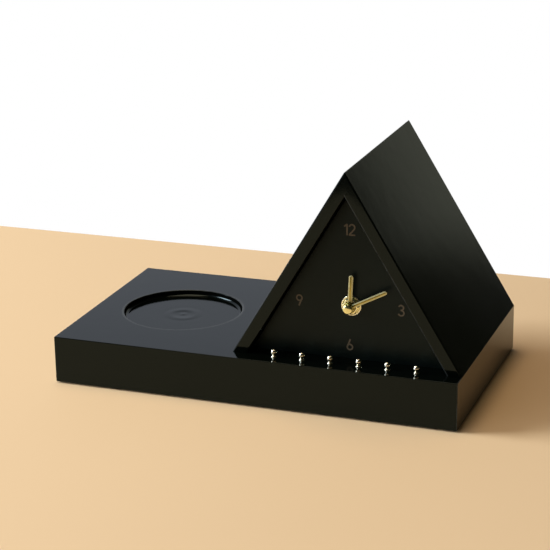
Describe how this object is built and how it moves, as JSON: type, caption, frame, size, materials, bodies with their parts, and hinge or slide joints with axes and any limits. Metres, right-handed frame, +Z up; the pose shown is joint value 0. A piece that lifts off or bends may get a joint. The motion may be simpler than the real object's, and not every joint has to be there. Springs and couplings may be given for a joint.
{
  "type": "wake-up light",
  "caption": "Black lacquered wake-up light: flat plinth with a round tray, A-frame housing with a sunk triangular dial, short brass hands, ball-headed buttons and an opal rear light panel.",
  "frame": {"origin": "on the table under the middle of the plinth", "axes": "+X to the right along the plinth, +Y from the dial to the back, +Z up"},
  "size_m": [0.3, 0.168, 0.1724],
  "materials": {
    "lacquer": "black satin lacquer on fibreboard",
    "dial_black": "matt black painted panel with raised bronze numerals",
    "brass": "polished brass",
    "pale_gold": "mirror polished pale gold",
    "steel": "zinc plated",
    "aluminium": "plain sheet",
    "black_plastic": "fine grained",
    "white_plastic": "smooth moulded",
    "opal_plastic": "opal light panel",
    "circuit_board": "green solder mask",
    "bare_wood": "sanded",
    "rubber": "matt",
    "battery_label": "plain wrapped can"
  },
  "bodies": {
    "base": {"base_casing": "lacquer", "base_plate": "black_plastic", "control_board": "circuit_board", "sounder": "black_plastic", "power_jack": "black_plastic", "jack_lead": "rubber", "led_lead": "rubber", "roof_left": "lacquer", "roof_right": "lacquer", "ridge_block": "bare_wood", "rail_left": "bare_wood", "rail_right": "bare_wood", "dial_panel": "dial_black", "led_bracket": "aluminium", "led_board": "white_plastic", "movement_case": "black_plastic", "movement_cover": "black_plastic", "battery": "battery_label", "contact_plus": "steel", "contact_minus": "steel", "motor_block": "white_plastic", "dial_washer": "brass", "dial_nut": "brass", "foot_1": "rubber", "base_screw_1": "steel", "rail_screw_1": "steel", "foot_2": "rubber", "base_screw_2": "steel", "rail_screw_2": "steel", "foot_3": "rubber", "base_screw_3": "steel", "rail_screw_3": "steel", "foot_4": "rubber", "base_screw_4": "steel", "rail_screw_4": "steel", "switch_1": "black_plastic", "switch_2": "black_plastic", "switch_3": "black_plastic", "switch_4": "black_plastic", "switch_5": "black_plastic", "switch_6": "black_plastic"},
    "minute_train": {"centre_wheel": "white_plastic", "cannon_pinion": "brass", "minute_hand": "brass", "hand_cap": "brass"},
    "hour_train": {"hour_wheel": "white_plastic", "hour_hand": "brass"},
    "minute_wheel_body": {"minute_wheel": "white_plastic"},
    "setting_train": {"setting_knob": "black_plastic"},
    "motor_train": {"motor_pinion": "white_plastic"},
    "light_panel": {"rear_panel": "opal_plastic", "panel_knob": "brass"},
    "push_button_1": {"button_1": "pale_gold"},
    "push_button_2": {"button_2": "pale_gold"},
    "push_button_3": {"button_3": "pale_gold"},
    "push_button_4": {"button_4": "pale_gold"},
    "push_button_5": {"button_5": "pale_gold"},
    "push_button_6": {"button_6": "pale_gold"}
  },
  "joints": [
    {"name": "minute_turn", "type": "hinge", "parent": "base", "child": "minute_train", "pos_m": [0.0682, -0.0575, 0.0747], "axis": [0, 1, 0], "continuous": true},
    {"name": "hour_turn", "type": "hinge", "parent": "base", "child": "hour_train", "pos_m": [0.0682, -0.0575, 0.0747], "axis": [0, 1, 0], "continuous": true},
    {"name": "minute_wheel_turn", "type": "hinge", "parent": "base", "child": "minute_wheel_body", "pos_m": [0.0682, -0.0575, 0.0867], "axis": [0, 1, 0], "continuous": true},
    {"name": "setting_turn", "type": "hinge", "parent": "base", "child": "setting_train", "pos_m": [0.0562, -0.0575, 0.0867], "axis": [0, 1, 0], "continuous": true},
    {"name": "motor_turn", "type": "hinge", "parent": "base", "child": "motor_train", "pos_m": [0.07704, -0.0575, 0.08354], "axis": [0, 1, 0], "continuous": true},
    {"name": "button_1_press", "type": "slide", "parent": "base", "child": "push_button_1", "axis": [0, 0, -1], "range_m": [0, 0.0008], "stiffness_N_per_m": 600, "springref_m": -0.0005},
    {"name": "button_2_press", "type": "slide", "parent": "base", "child": "push_button_2", "axis": [0, 0, -1], "range_m": [0, 0.0008], "stiffness_N_per_m": 600, "springref_m": -0.0005},
    {"name": "button_3_press", "type": "slide", "parent": "base", "child": "push_button_3", "axis": [0, 0, -1], "range_m": [0, 0.0008], "stiffness_N_per_m": 600, "springref_m": -0.0005},
    {"name": "button_4_press", "type": "slide", "parent": "base", "child": "push_button_4", "axis": [0, 0, -1], "range_m": [0, 0.0008], "stiffness_N_per_m": 600, "springref_m": -0.0005},
    {"name": "button_5_press", "type": "slide", "parent": "base", "child": "push_button_5", "axis": [0, 0, -1], "range_m": [0, 0.0008], "stiffness_N_per_m": 600, "springref_m": -0.0005},
    {"name": "button_6_press", "type": "slide", "parent": "base", "child": "push_button_6", "axis": [0, 0, -1], "range_m": [0, 0.0008], "stiffness_N_per_m": 600, "springref_m": -0.0005},
    {"name": "light_panel_slide", "type": "slide", "parent": "base", "child": "light_panel", "axis": [0, 1, 0], "range_m": [0, 0.06]}
  ],
  "couplings": [
    {"joint": "hour_turn", "follows": "minute_turn", "ratio": 0.083333},
    {"joint": "minute_wheel_turn", "follows": "minute_turn", "ratio": -0.33333},
    {"joint": "setting_turn", "follows": "minute_turn", "ratio": 1},
    {"joint": "motor_turn", "follows": "minute_turn", "ratio": -4}
  ]
}
